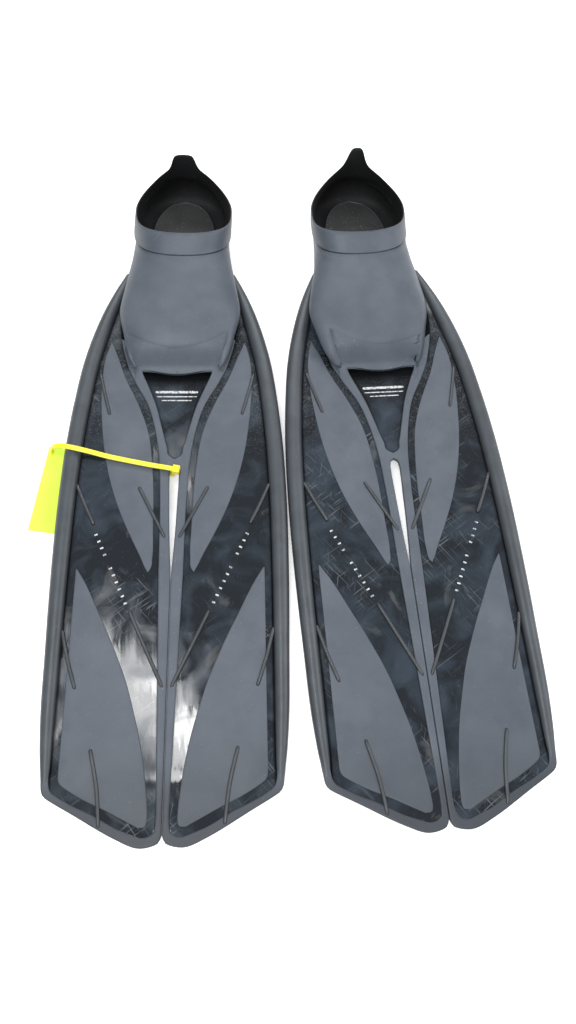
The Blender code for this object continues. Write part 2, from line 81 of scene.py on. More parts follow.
def finFrame(fin):
    # a fin's own frame, from the record's joints and mounts: x across, y from the tip to the heel, z up
    joints = {j["name"]: j for j in frame["joints"]}
    pair = [joints[f"{fin}_{half}_flex"] for half in ("outboard", "inboard")]
    middle = (Vector(pair[0]["pos_m"]) + Vector(pair[1]["pos_m"])) / 2
    across = Vector(pair[0]["axis"]).normalized()
    mount = next(m for m in frame["record"]["mounts"] if m["name"] == fin + "_vent_floor")
    up = Vector(mount["axis"]).normalized()
    along = up.cross(across).normalized()
    across = along.cross(up)
    origin = middle - along * blade["flex"] / 1000
    return fromAxes(across, along, up, origin)


def place(fin, x, y, z):
    return frames[fin] @ Vector((x / 1000, y / 1000, z / 1000))


frames = {fin: finFrame(fin) for fin in fins}


def unit(value):
    # held between 0 and 1
    return min(max(value, 0), 1)


def stations(*runs):
    # positions in a row, each run given as first, last and how many
    return [y for run in runs for y in np.linspace(*run)]


def read(table, at):
    # a smooth curve through a table, read at one position
    position, value = np.array(table, float).T
    slope = np.gradient(value, position)
    i = int(np.clip(np.searchsorted(position, at) - 1, 0, len(position) - 2))
    span = position[i + 1] - position[i]
    t = min(max((at - position[i]) / span, 0.0), 1.0)
    return float(value[i] * (1 + 2 * t) * (1 - t) ** 2 + value[i + 1] * t * t * (3 - 2 * t)
                 + span * (slope[i] * t * (1 - t) ** 2 - slope[i + 1] * t * t * (1 - t)))


def smoothThrough(points, steps, closed=False):
    # a curve through all the points, cut into equal steps between each two
    rows = [np.array(p, float) for p in points]
    count = len(rows)
    line = []
    for i in range(count if closed else count - 1):
        if closed:
            a, b, c, d = (rows[(i + k) % count] for k in (-1, 0, 1, 2))
        else:
            a, b, c, d = rows[max(i - 1, 0)], rows[i], rows[i + 1], rows[min(i + 2, count - 1)]
        for k in range(steps):
            t = k / steps
            line.append(0.5 * (2 * b + (c - a) * t + (2 * a - 5 * b + 4 * c - d) * t * t
                               + (3 * b - a - 3 * c + d) * t ** 3))
    if not closed:
        line.append(rows[-1])
    return line


def evenly(points, count):
    # the same line cut into equal lengths
    line = np.array([(p[0], p[1]) for p in points], float)
    length = np.r_[0, np.cumsum(np.linalg.norm(np.diff(line, axis=0), axis=1))]
    at = np.linspace(0, length[-1], count)
    return [(float(np.interp(a, length, line[:, 0])), float(np.interp(a, length, line[:, 1]))) for a in at]


def grown(outline, distance):
    # a closed outline, counter-clockwise, moved outwards
    line = [Vector(p) for p in outline]
    result = []
    for i, here in enumerate(line):
        before = (here - line[i - 1]).normalized()
        after = (line[(i + 1) % len(line)] - here).normalized()
        out = Vector((before.y + after.y, -before.x - after.x)).normalized()
        result.append(here + out * distance / max(out.dot(Vector((before.y, -before.x))), 0.5))
    return result


def counterClockwise(outline):
    area = sum(a[0] * b[1] - a[1] * b[0] for a, b in zip(outline, outline[1:] + outline[:1]))
    return outline if area > 0 else outline[::-1]


def newPiece(name, fin, points, faces, material, sharp=40):
    mesh = bpy.data.meshes.new(name)
    mesh.from_pydata([place(fin, *p) for p in points], [], faces)
    shape = bmesh.new()
    shape.from_mesh(mesh)
    bmesh.ops.recalc_face_normals(shape, faces=shape.faces)
    shape.to_mesh(mesh)
    shape.free()
    mesh.shade_smooth()
    mesh.set_sharp_from_angle(angle=math.radians(sharp))
    mesh.materials.append(material)
    piece = bpy.data.objects.new(name, mesh)
    bpy.context.scene.collection.objects.link(piece)
    return piece


def setValues(piece, name, values):
    layer = piece.data.attributes.new(name, "FLOAT", "POINT")
    layer.data.foreach_set("value", np.array(values, np.float32))


def localPoints(piece, fin):
    back = frames[fin].inverted()
    return [(back @ v.co) * 1000 for v in piece.data.vertices]


def onFoot(piece, fin):
    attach(piece, fin + "_foot")
    return piece


def acrossFlex(piece):
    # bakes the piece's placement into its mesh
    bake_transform(piece)
    return piece


def gridFaces(rings, count):
    # faces between rows of points, each row closed on itself
    faces = []
    for i in range(rings - 1):
        for k in range(count):
            n = (k + 1) % count
            faces.append((i * count + k, i * count + n, (i + 1) * count + n, (i + 1) * count + k))
    return faces


roundSteps = (0, 0.08, 0.3, 0.62, 1.0)  # shares of the radius at which a rounded edge is cut


def ribbon(name, fin, edgeA, edgeB, half, radius, material, drop=0.75, squareA=None, middle=1, lean=None, lanes=()):
    # a bar between two matching lines, with rounded upper and lower edges; squareA keeps line A's edge square,
    # lean lays the bar over the dome, lanes are extra cuts in millimetres from each edge
    points, edgeness = [], []
    for i, ((ax, ay), (bx, by)) in enumerate(zip(edgeA, edgeB)):
        width = max(math.hypot(bx - ax, by - ay), 0.02)
        r = min(radius, width / 2 * 0.98)
        shares = [s * r / width for s in roundSteps]
        shares += [min(lane / width, 0.36 + 0.01 * k) for k, lane in enumerate(lanes)]
        between = [shares[-1] + (1 - 2 * shares[-1]) * (k + 1) / (middle + 1) for k in range(middle)]
        shares = shares + between + [1 - s for s in shares[::-1]]
        for face in (1, -1):
            for s in (shares if face > 0 else shares[::-1]):
                inside = min(min(s, 1 - s) * width / r, 1)
                square = squareA is not None and squareA[i] and s < 0.5
                fall = 0 if square else drop * (r / radius) * (1 - math.sqrt(max(1 - (1 - inside) ** 2, 0)))
                x, y, z = ax + (bx - ax) * s, ay + (by - ay) * s, face * (half - fall)
                if lean:
                    top = bridgeHeight(x, y, half, lean)
                    shell = unit((top - half - 0.3) / 3)
                    z = top - fall if face > 0 else z * (1 - shell) + (top - bridge["shell"] + fall) * shell
                points.append((x, y, z))
                edgeness.append(radius if square else min(s, 1 - s) * width)
    count = 2 * (2 * (len(roundSteps) + len(lanes)) + middle)
    rings = len(edgeA)
    faces = gridFaces(rings, count)
    faces.append(tuple(range(count - 1, -1, -1)))
    faces.append(tuple((rings - 1) * count + k for k in range(count)))
    piece = newPiece(name, fin, points, faces, material)
    setValues(piece, "edge", edgeness)
    return piece


def pad(name, fin, outline, half, radius, material, drop, lift):
    # a panel with rounded upper and lower edges, raised by lift(y)
    line = counterClockwise([(float(p[0]), float(p[1])) for p in outline])
    insets = [s * radius for s in roundSteps]
    points, faces, edgeness = [], [], []
    count = len(line)
    for face in (1, -1):
        for inset in insets:
            inside = min(inset / radius, 1)
            height = half - drop * (1 - math.sqrt(max(1 - (1 - inside) ** 2, 0)))
            for p in grown(line, -inset):
                points.append((p.x, p.y, face * height + lift(p.y)))
                edgeness.append(inset)
    levels = len(insets)
    for i in range(levels - 1):
        for k in range(count):
            n = (k + 1) % count
            faces.append((i * count + k, i * count + n, (i + 1) * count + n, (i + 1) * count + k))
            low = (levels + i) * count
            faces.append((low + n, low + k, low + count + k, low + count + n))
    for k in range(count):
        n = (k + 1) % count
        faces.append((levels * count + k, levels * count + n, n, k))
    faces.append(tuple((levels - 1) * count + k for k in range(count)))
    faces.append(tuple((2 * levels - 1) * count + k for k in range(count - 1, -1, -1)))
    piece = newPiece(name, fin, points, faces, material)
    setValues(piece, "edge", edgeness)
    return piece


def capRow(row, angle, direction):
    # a ring of a round end, beyond the first or the last ring of a rod
    here, side, up, radius, along = row
    return here + along * radius * math.sin(angle) * direction, side, up, radius * max(math.cos(angle), 0.02), along


def tube(name, fin, centres, radii, material, sides, flat=1.0, capSteps=4):
    # a rod with rounded ends; flat squashes its height
    line = [Vector(c) for c in centres]
    rows = []
    for i, here in enumerate(line):
        along = (line[min(i + 1, len(line) - 1)] - line[max(i - 1, 0)]).normalized()
        side = along.cross(Vector((0, 0, 1))).normalized()
        rows.append((here, side, side.cross(along), radii[i], along))
    caps = [math.radians(90 - 90 * k / capSteps) for k in range(capSteps)]
    points = []
    every = [capRow(rows[0], a, -1) for a in caps] + rows + [capRow(rows[-1], a, 1) for a in caps[::-1]]
    for here, side, up, radius, along in every:
        for k in range(sides):
            a = 2 * math.pi * k / sides
            p = here + side * math.cos(a) * radius + up * math.sin(a) * radius * flat
            points.append(tuple(p))
    faces = gridFaces(len(every), sides)
    faces.append(tuple(range(sides - 1, -1, -1)))
    faces.append(tuple((len(every) - 1) * sides + k for k in range(sides)))
    return newPiece(name, fin, points, faces, material, sharp=60)


def startMaterial(name):
    material = bpy.data.materials.new(name)
    material.use_nodes = True
    tree = material.node_tree
    return material, tree, tree.nodes["Principled BSDF"]


def spots(tree, scale, low, high, detail=3.0, stretch=None, turn=0.0, distortion=0.0):
    # noise over the object turned into a mask between two levels
    where = tree.nodes.new("ShaderNodeTexCoord")
    mapping = tree.nodes.new("ShaderNodeMapping")
    tree.links.new(where.outputs["Object"], mapping.inputs["Vector"])
    mapping.vector_type = "TEXTURE"
    mapping.inputs["Rotation"].default_value = (0, 0, turn)
    mapping.inputs["Scale"].default_value = stretch or (1, 1, 1)
    noise = tree.nodes.new("ShaderNodeTexNoise")
    noise.inputs["Scale"].default_value = scale
    noise.inputs["Detail"].default_value = detail
    noise.inputs["Distortion"].default_value = distortion
    tree.links.new(mapping.outputs["Vector"], noise.inputs["Vector"])
    ramp = tree.nodes.new("ShaderNodeMapRange")
    ramp.inputs["From Min"].default_value = low
    ramp.inputs["From Max"].default_value = high
    ramp.clamp = True
    tree.links.new(noise.outputs["Fac"], ramp.inputs["Value"])
    return ramp.outputs["Result"]


def mixColour(tree, mask, under, over, strength=1.0):
    mix = tree.nodes.new("ShaderNodeMix")
    mix.data_type = "RGBA"
    factor = tree.nodes.new("ShaderNodeMath")
    factor.operation = "MULTIPLY"
    factor.inputs[1].default_value = strength
    tree.links.new(mask, factor.inputs[0])
    tree.links.new(factor.outputs[0], mix.inputs[0])
    for socket, value in ((mix.inputs[6], under), (mix.inputs[7], over)):
        if isinstance(value, tuple):
            socket.default_value = (*value, 1)
        else:
            tree.links.new(value, socket)
    return mix.outputs[2]


def fromRange(tree, value, lowIn, highIn, lowOut, highOut):
    ramp = tree.nodes.new("ShaderNodeMapRange")
    for name, number in (("From Min", lowIn), ("From Max", highIn), ("To Min", lowOut), ("To Max", highOut)):
        ramp.inputs[name].default_value = number
    tree.links.new(value, ramp.inputs["Value"])
    return ramp.outputs["Result"]


def addBump(tree, shader, height, strength, distance, previous=None):
    bump = tree.nodes.new("ShaderNodeBump")
    bump.inputs["Strength"].default_value = strength
    bump.inputs["Distance"].default_value = distance
    tree.links.new(height, bump.inputs["Height"])
    if previous:
        tree.links.new(previous, bump.inputs["Normal"])
    tree.links.new(bump.outputs["Normal"], shader.inputs["Normal"])
    return bump.outputs["Normal"]


def storedValue(tree, name):
    stored = tree.nodes.new("ShaderNodeAttribute")
    stored.attribute_name = name
    return stored.outputs["Fac"]


def edgeMask(tree, low, high):
    # 1 at a piece's edge, 0 inside it, from the distance stored on the mesh
    return fromRange(tree, storedValue(tree, "edge"), low, high, 1.0, 0.0)


rubberLook = {
    "colour": (0.071, 0.087, 0.111), "worn": (0.098, 0.114, 0.137), "dark": (0.052, 0.064, 0.083),
    # the colour after speck is painted shade and darker bands where the mesh stores them; the seam colour is painted
    # shade in the gaps along piece edges
    "speck": (0.42, 0.41, 0.39), "shadeAndGrime": (0.022, 0.027, 0.034), "seam": (0.008, 0.009, 0.011), "roughness": 0.5,
}
wallLook = dict(rubberLook, shadeAndGrime=(0.040, 0.036, 0.031))
railLook = {
    "colour": (0.050, 0.060, 0.071), "worn": (0.073, 0.085, 0.098), "dark": (0.036, 0.041, 0.047),
    # the colour after speck is painted shade for the rail's flanks
    "speck": (0.35, 0.34, 0.32), "shadeAndGrime": (0.011, 0.012, 0.014), "roughness": 0.36,
}
# near-black for the pocket's inner faces: painted shade inside the pocket
insideShadeLook = {
    "colour": (0.0055, 0.006, 0.0072), "worn": (0.010, 0.011, 0.012), "dark": (0.003, 0.0034, 0.004),
    "speck": (0.3, 0.3, 0.29), "roughness": 0.75,
}
footbedLook = {
    "colour": (0.034, 0.035, 0.036), "worn": (0.05, 0.05, 0.049), "dark": (0.018, 0.019, 0.02),
    "speck": (0.5, 0.5, 0.48), "roughness": 0.75,
}
ribLook = {
    "colour": (0.046, 0.052, 0.059), "worn": (0.07, 0.077, 0.085), "dark": (0.03, 0.034, 0.038),
    # the colour after speck is painted shade for the ribs' lower sides
    "speck": (0.2, 0.2, 0.2), "shadeAndGrime": (0.004, 0.0045, 0.005), "roughness": 0.3,
}


def rubber(name, look, edgeShade=0.0, speckle=0.35, shadeAndGrime=0.0):
    # matt rubber with worn and dark patches, specks, fine grain, painted shade in the gaps along its edges, and painted
    # shade on rail and rib flanks and darker bands on other pieces where the mesh asks for them
    material, tree, shader = startMaterial(name)
    base = mixColour(tree, spots(tree, 20, 0.38, 0.68), look["colour"], look["worn"], 0.65)
    base = mixColour(tree, spots(tree, 50, 0.42, 0.7, detail=6), base, look["dark"], 0.5)
    scuffs = spots(tree, 60, 0.66, 0.72, detail=4, stretch=(1, 0.12, 1), turn=0.5, distortion=0.6)
    base = mixColour(tree, scuffs, base, look["worn"], 0.5)
    specks = spots(tree, 900, 0.735, 0.78, detail=1)
    base = mixColour(tree, specks, base, look["speck"], speckle)
    # painted shade in the gap where the piece's edge meets its neighbour
    if edgeShade:
        base = mixColour(tree, edgeMask(tree, 0.1, 0.5), base, look["seam"], edgeShade)
    # painted shade on rail and rib flanks, and darker bands on other pieces, where the mesh stores them
    if shadeAndGrime:
        base = mixColour(tree, storedValue(tree, "shadeAndGrime"), base, look["shadeAndGrime"], shadeAndGrime)
    tree.links.new(base, shader.inputs["Base Color"])
    shader.inputs["Roughness"].default_value = look["roughness"]
    shader.inputs["Specular IOR Level"].default_value = 0.45
    fine = addBump(tree, shader, spots(tree, 1400, 0.3, 0.7, detail=2), 0.25, 0.00012)
    addBump(tree, shader, spots(tree, 55, 0.2, 0.8), 0.2, 0.0005, fine)
    return material


plasticLook = {
    "colour": (0.0064, 0.0100, 0.0150), "film": (0.041, 0.060, 0.083), "scratch": (0.15, 0.165, 0.18),
    # groove is the colour of the painted shade beside rails and arms and under the vent's lip
    "dust": (0.13, 0.135, 0.135), "grit": (0.12, 0.118, 0.110), "groove": (0.002, 0.0022, 0.0026),
    "roughness": (0.06, 0.24),
    # noise scale, direction, threshold, strength of each set of scratches
    "scratches": [(34, 0.6, 0.665, 0.6), (40, -0.9, 0.675, 0.55), (30, 2.2, 0.68, 0.5), (46, 1.35, 0.685, 0.45)],
}


def product(tree, first, second):
    times = tree.nodes.new("ShaderNodeMath")
    times.operation = "MULTIPLY"
    tree.links.new(first, times.inputs[0])
    tree.links.new(second, times.inputs[1])
    return times.outputs[0]


def hardPlastic(name, look, scratches=1.0):
    # glossy plastic with a hazy film, scratches, smudges and dust, and painted shade where the mesh stores a groove
    # value
    material, tree, shader = startMaterial(name)
    film = spots(tree, 30, 0.42, 0.75, detail=8, distortion=0.9)
    base = mixColour(tree, film, look["colour"], look["film"], 0.68)
    for scale, turn, low, strength in look["scratches"]:
        mark = spots(tree, scale, low, low + 0.03, detail=1, stretch=(1, 0.045, 1), turn=turn, distortion=0.45)
        mark = product(tree, mark, spots(tree, 16 + scale / 9, 0.49, 0.66, detail=1))
        base = mixColour(tree, mark, base, look["scratch"], strength * scratches)
    smudge = spots(tree, 17, 0.63, 0.70, detail=8, distortion=1.8)
    base = mixColour(tree, smudge, base, look["dust"], 0.35)
    base = mixColour(tree, spots(tree, 800, 0.71, 0.76, detail=1), base, look["dust"], 0.35)
    grit = product(tree, storedValue(tree, "dust"), spots(tree, 620, 0.53, 0.70, detail=5))
    base = mixColour(tree, grit, base, look["grit"], 0.6)
    # painted shade where the mesh stores a groove value
    base = mixColour(tree, storedValue(tree, "groove"), base, look["groove"], 0.93)
    tree.links.new(base, shader.inputs["Base Color"])
    tree.links.new(fromRange(tree, film, 0.0, 1.0, *look["roughness"]), shader.inputs["Roughness"])
    shine = fromRange(tree, storedValue(tree, "groove"), 0.0, 1.0, 0.5, 0.05)
    tree.links.new(shine, shader.inputs["Specular IOR Level"])
    wave = addBump(tree, shader, spots(tree, 16, 0.1, 0.9, detail=1, stretch=(0.6, 1.5, 1)), 0.5, 0.0013)
    addBump(tree, shader, spots(tree, 60, 0.25, 0.75, detail=2, stretch=(0.5, 1.8, 1)), 0.2, 0.00022, wave)
    return material


# noise is scale, lower level, upper level and detail; bump is scale, strength and distance
plainLooks = {
    "yellowNylon": {
        "noise": (60, 0.35, 0.7, 3), "colour": (0.86, 0.76, 0.022), "worn": (0.95, 0.88, 0.06), "mix": 0.7,
        "bump": (500, 0.1, 0.0001),
        "sockets": {"Roughness": 0.34, "Subsurface Weight": 0.1, "Subsurface Radius": (0.002, 0.0018, 0.0004)},
    },
    "tagCard": {
        "noise": (24, 0.35, 0.7, 3), "colour": (0.72, 0.96, 0.09), "worn": (0.58, 0.84, 0.045), "mix": 0.8,
        "bump": (40, 0.15, 0.0008),
        # the faint emission paints a glow on the card
        "sockets": {"Roughness": 0.5, "Emission Color": (0.72, 0.96, 0.09, 1), "Emission Strength": 0.06},
    },
    "markPaint": {
        "noise": (420, 0.5, 0.6, 4), "colour": (0.55, 0.57, 0.58), "worn": (0.12, 0.13, 0.14), "mix": 0.8,
        "sockets": {"Roughness": 0.5},
    },
    "floorPaper": {
        "noise": (3, 0.3, 0.7, 3), "colour": (0.9, 0.9, 0.9), "worn": (0.93, 0.93, 0.93), "mix": 1.0,
        "sockets": {"Roughness": 0.9, "Specular IOR Level": 0.1, "Emission Color": (1, 1, 1, 1),
                    "Emission Strength": 0.45},
    },
}


def plain(name):
    # two colours mixed by noise, with a light bump where the look asks for one
    look = plainLooks[name]
    material, tree, shader = startMaterial(name)
    scale, low, high, detail = look["noise"]
    patches = spots(tree, scale, low, high, detail=detail)
    tree.links.new(mixColour(tree, patches, look["colour"], look["worn"], look["mix"]), shader.inputs["Base Color"])
    for socket, value in look["sockets"].items():
        shader.inputs[socket].default_value = value
    if "bump" in look:
        scale, strength, distance = look["bump"]
        addBump(tree, shader, spots(tree, scale, 0.3, 0.7), strength, distance)
    return material


softRubber = rubber("softRubber", wallLook, shadeAndGrime=0.75)
frameRubber = rubber("frameRubber", rubberLook, edgeShade=0.35, speckle=0.6, shadeAndGrime=0.75)
tipRubber = rubber("tipRubber", rubberLook, edgeShade=0.92, shadeAndGrime=0.45)
panelRubber = rubber("panelRubber", rubberLook, edgeShade=0.92)
railRubber = rubber("railRubber", railLook, speckle=0.2, shadeAndGrime=0.9)
soleRubber = rubber("soleRubber", railLook, speckle=0.2)
# the pocket's inner faces: near-black painted shade
insideShadeRubber = rubber("insideShadeRubber", insideShadeLook, speckle=0.5)
footbedRubber = rubber("footbedRubber", footbedLook, speckle=0.9)
ridgeRubber = rubber("ridgeRubber", railLook)
ribPlastic = rubber("ribPlastic", ribLook, speckle=0.1, shadeAndGrime=0.95)
platePlastic = hardPlastic("platePlastic", plasticLook)
ventPlastic = hardPlastic("ventPlastic", plasticLook, 0.3)
nylon, card, markPaint = plain("yellowNylon"), plain("tagCard"), plain("markPaint")
print("finishes ready")


pocket = {
    "height": 46.5, "solePitch": 8.15, "soleStart": (425, 2.7), "wall": 3.0, "ankle": 603, "sides": 72, "smoothing": 5,
    # top y, top z, bottom y, half width of each ring from the toes to the ankle
    "rings": [(416, 8.6, 425, 41), (428, 18, 437, 47.5), (444, 26, 463, 53), (464, 31, 500, 58.3),
              (486, 33.5, 545, 54.5), (504, 34.6, 592, 50), (516, 35.2, 632, 48), (523, 35.5, 655, 48.2)],
    # the same with the bottom z as well
    "heelRings": [(525, 35.7, 667, -27, 48.6), (527, 35.9, 672, -15, 49), (529, 36.2, 670.5, -3, 49.3)],
    # how round the bottom half of a ring is, along the rings: below 1 is squarer
    "boxy": ([0, 7, 10], [0.45, 0.5, 0.95]), "frontFrom": [0, 6, 10],
    "seamGroove": (0.5, 0.7), "tuck": 1.3, "toeEnd": 462, "toeLining": 0.8,
}
cuff = {
    "wall": 3.6, "rimWall": 1.7, "sides": 168, "smoothing": 6, "crowd": 0.72, "boxy": 0.95, "back": 1.15, "front": 0.76,
    # how far the sides hang at the seam and at the rim; height and reach of the climb to the heel
    "sag": (14.0, 8.5), "heelRise": (9.5, 30),
    "rings": [(529.6, 36.5, 670.2, -2.3, 49.9), (538, 41, 665, 7, 49.8), (548, 46.5, 659, 16, 49)],
}


def soleHeight(y):
    start, height = pocket["soleStart"]
    return height - (y - start) * math.tan(math.radians(pocket["solePitch"]))


def sideways(point, lean):
    # the rim leans and turns in proportion to its height
    return (lean[0] + lean[1] * (point.y - pocket["ankle"])) * max(point.z, 0) / pocket["height"]


def wallRing(ring, inset, boxy, lean, sides, crowd=0.0, front=1.0, sag=0.0):
    # one slanted ring of the pocket or the cuff; crowd gathers its points towards the heel
    topY, topZ, bottomY, bottomZ, halfWidth = ring
    top, bottom = Vector((0, topY, topZ)), Vector((0, bottomY, bottomZ))
    width = halfWidth - inset
    centre, half = (top + bottom) / 2, (top - bottom) / 2
    half = half * (1 - inset / half.length)
    made = []
    for i in range(sides):
        angle = 2 * math.pi * i / sides
        angle += crowd * math.sin(angle)
        across, along = math.sin(angle), math.cos(angle)
        power = boxy if along < 0 else front * (0.5 + boxy / 2)
        point = centre + half * math.copysign(abs(along) ** power, along)
        point.z -= sag * abs(across) ** 3
        point.x = math.copysign(abs(across) ** power, across) * width + sideways(point, lean)
        made.append(point)
    return made


def pocketRings(count):
    rings = [(ty, tz, by, soleHeight(by), w) for ty, tz, by, w in pocket["rings"]] + pocket["heelRings"]
    return smoothThrough(rings, count)


def domeSurface():
    # the dome on its own, in millimetres, to lay the toe bridge on
    steps, sides = 4, 96
    fine = pocketRings(steps)
    boxes = np.interp(np.arange(len(fine)) / steps, *pocket["boxy"])
    points = [p for ring, boxy in zip(fine, boxes) for p in wallRing(ring, 0, boxy, (0, 0), sides)]
    return BVHTree.FromPolygons(points, gridFaces(len(fine), sides))


domeTree = domeSurface()


def sided(points, side):
    return [(p[0] * side, p[1]) for p in points]


def insideEdge(y):
    # the frame's edge towards the split, the slot and the vent
    start, end = blade["vent"]
    if y <= blade["splitEnd"]:
        return blade["splitGap"]
    if y <= blade["slotEnd"]:
        return max(read(blade["slotEdge"], y), blade["splitGap"] if y < 222 else blade["closed"])
    if y <= start:
        return blade["closed"]
    if y <= end:
        return read(blade["ventEdge"], y)
    return 34.5 + (y - end) * 0.3


def outsideEdge(y):
    # the outer edge of the trim beside the split, which turns into the arm over a short length
    turnLength = 17
    if y < blade["splitEnd"]:
        return read(blade["splitTrim"], y)
    if y < blade["splitEnd"] + turnLength:
        share = (y - blade["splitEnd"]) / turnLength
        return read(blade["splitTrim"], min(y, blade["flex"])) * (1 - share) + read(blade["armOuter"], y) * share
    return read(blade["armOuter"], y)


# the toe seam's middle and how it curves back; where the arms rise, and how they lie over the dome
bridge = {
    "seam": 433, "seamBack": 20, "seamHalf": 51, "seamPower": 2.2,
    "start": 403, "length": 33, "above": 0.4, "dive": 2.4, "shell": 2.4, "edge": (0.5, 1.5),
    "levelFrom": 0.45, "levelOver": 0.25, "insideFrom": 3, "insideOver": 5,
}


def seamY(x):
    # where the dome's toe seam runs
    return bridge["seam"] + bridge["seamBack"] * (abs(x) / bridge["seamHalf"]) ** bridge["seamPower"]


def domeAt(x, y, lean):
    # height of the dome under a point, and 1 where it is flat and well inside the arm
    at = x
    for step in range(3):
        hit = domeTree.ray_cast(Vector((at, max(y, 420), 80)), Vector((0, 0, -1)))
        if not hit[0]:
            return 0, 0
        at = x - sideways(hit[0], lean)
    inside = unit((outsideEdge(min(y, 460)) - bridge["insideFrom"] - abs(x)) / bridge["insideOver"])
    return hit[0].z, min(inside, max((abs(hit[1].z) - bridge["levelFrom"]) / bridge["levelOver"], 0), 1)


def bridgeHeight(x, y, flat, lean):
    # the arms rise smoothly from the blade over the dome in front of the toe seam, and dive under its flanks
    if y < bridge["start"]:
        return flat
    height, level = domeAt(x, y, lean)
    rise = unit((y - bridge["start"]) / bridge["length"])
    rise = rise * rise * (3 - 2 * rise)
    before, over = bridge["edge"]
    edge = unit((outsideEdge(y) + before - abs(x)) / over)
    return max(flat, flat + (height + bridge["above"] - bridge["dive"] * (1 - level) - flat) * rise * edge)


# outlines are (x, y) in drawn millimetres, on one half of a blade
trim = {
    "radius": 1.5, "drop": 0.9, "across": 8, "seamHalf": 52.6, "seamPoints": 30, "lipPoints": 26, "rimPoints": 40,
    "seamLine": (431, 416, 8), "flank": (456, 410, 200), "darkerFrom": 62, "darkerOver": 30,
    "armRows": (409, 326, 40), "joinRows": [325, 323.5, 322, 320.6, 319.6, 318.9, 318, 316.5, 314.5],
    "legRows": [(311, 240, 30), (236, 196, 22), (190, 14, 34)],
    "toeLip": [(30.6, 411), (31.9, 414), (32.9, 416.6), (32.6, 418.6), (30.8, 419.4), (28, 418.9), (22, 417.2),
               (14, 415.4), (7, 414.5), (0.02, 414.2)],
    "footEdge": [(0.22, 9), (2.6, 3.6), (8, 1.3), (15.3, 0.2), (22, 1.4), (30, 4.8), (44.5, 12), (66, 24.2), (82, 33),
                 (88.6, 37), (91.4, 40), (92.6, 44), (93.4, 52), (94.6, 62)],
    "footInner": [(6, 12), (8.6, 9.3), (12, 8), (16.2, 7.8), (21.3, 9.8), (35, 15), (52.7, 24.7), (68, 31.5),
                  (80, 38), (84.6, 41.4), (86.4, 45), (87.2, 50), (88, 62)],
}


def frameStrip(fin, half, side):
    # one arm, its leg beside the slot, and the soft edge along the split and the foot of the blade half
    closed = blade["closed"]
    seam = [(x, seamY(x)) for x in np.linspace(trim["seamHalf"], closed, trim["seamPoints"])]
    inner = seam + [(closed, y) for y in stations(trim["seamLine"])] + evenly(trim["toeLip"][::-1], trim["lipPoints"])
    outer = evenly([(outsideEdge(y), y) for y in stations(trim["flank"])], len(inner))
    square = [True] * (len(inner) - trim["lipPoints"]) + [False] * trim["lipPoints"]
    ys = stations(trim["armRows"]) + trim["joinRows"] + stations(*trim["legRows"])
    inner += [(insideEdge(y), y) for y in ys]
    outer += [(outsideEdge(y), y) for y in ys]
    square += [blade["slotEnd"] <= y <= blade["vent"][0] for y in ys]
    inner += evenly(smoothThrough(trim["footEdge"], 4), trim["rimPoints"])
    outer += evenly(smoothThrough(trim["footInner"], 4), trim["rimPoints"])
    square += [False] * trim["rimPoints"]
    strip = ribbon(f"{fin}_{half}_frame", fin, sided(inner, side), sided(outer, side), blade["frameHalf"],
                   trim["radius"], frameRubber, trim["drop"], square, trim["across"], fins[fin]["lean"])
    # darker towards the foot end of the blade
    setValues(strip, "shadeAndGrime", [unit((trim["darkerFrom"] - p.y) / trim["darkerOver"]) for p in localPoints(strip, fin)])
    return acrossFlex(strip)


def grooveShade(x, y):
    # painted shade where the plate meets the rail and the arm
    toRail = read(blade["rail"], y) - read(blade["railRadius"], y) - x
    toArm = x - outsideEdge(y) if y > 60 else 9
    return max(unit(1.5 - toRail / 1.3), unit(1.3 - toArm / 0.8))


plateShape = {
    "rows": [(512, 430, 20), (426, 240, 34), (236, 196, 22), (190, 50, 24)], "radius": 0.5, "drop": 0.05,
    # the plate runs under the arm by tuck, and beside the dome, from notchFrom on, follows notch moved in by notchIn
    "tuck": 1.2, "underRail": 0.6, "notchFrom": 424, "notchIn": 4,
    "notch": [(419, 41.5), (428.6, 45.5), (449, 51), (462, 53.5), (476, 54), (512, 52)],
    "footFrom": 50, "footPoints": 30, "lanes": (2.2, 3.4, 4.6, 6.2), "dustFrom": 318, "dustOver": 60,
}


def plateHalf(fin, half, side):
    ys = stations(*plateShape["rows"])
    notchYs, notchXs = zip(*plateShape["notch"])
    inner = [(outsideEdge(y) - plateShape["tuck"] if y < plateShape["notchFrom"]
              else float(np.interp(y, notchYs, notchXs)) - plateShape["notchIn"], y) for y in ys]
    outer = [(read(blade["rail"], y) - read(blade["railRadius"], y) * plateShape["underRail"], y) for y in ys]
    foot, count = plateShape["footFrom"], plateShape["footPoints"]
    rim = [(x, y - 0.8) for x, y in trim["footInner"][1:-2]]
    inner += evenly([(outsideEdge(foot) - plateShape["tuck"], foot), (5.4, 20), (6, 12)] + rim, count)
    outer += evenly([(outer[-1][0], foot), (88, 44), (88, 41)], count)
    plate = ribbon(f"{fin}_{half}_plate", fin, sided(inner, side), sided(outer, side), blade["plateHalf"],
                   plateShape["radius"], platePlastic, plateShape["drop"], middle=5, lanes=plateShape["lanes"])
    local = localPoints(plate, fin)
    setValues(plate, "dust", [unit((p.y - plateShape["dustFrom"]) / plateShape["dustOver"]) for p in local])
    setValues(plate, "groove", [grooveShade(abs(p.x), p.y) for p in local])
    return acrossFlex(plate)


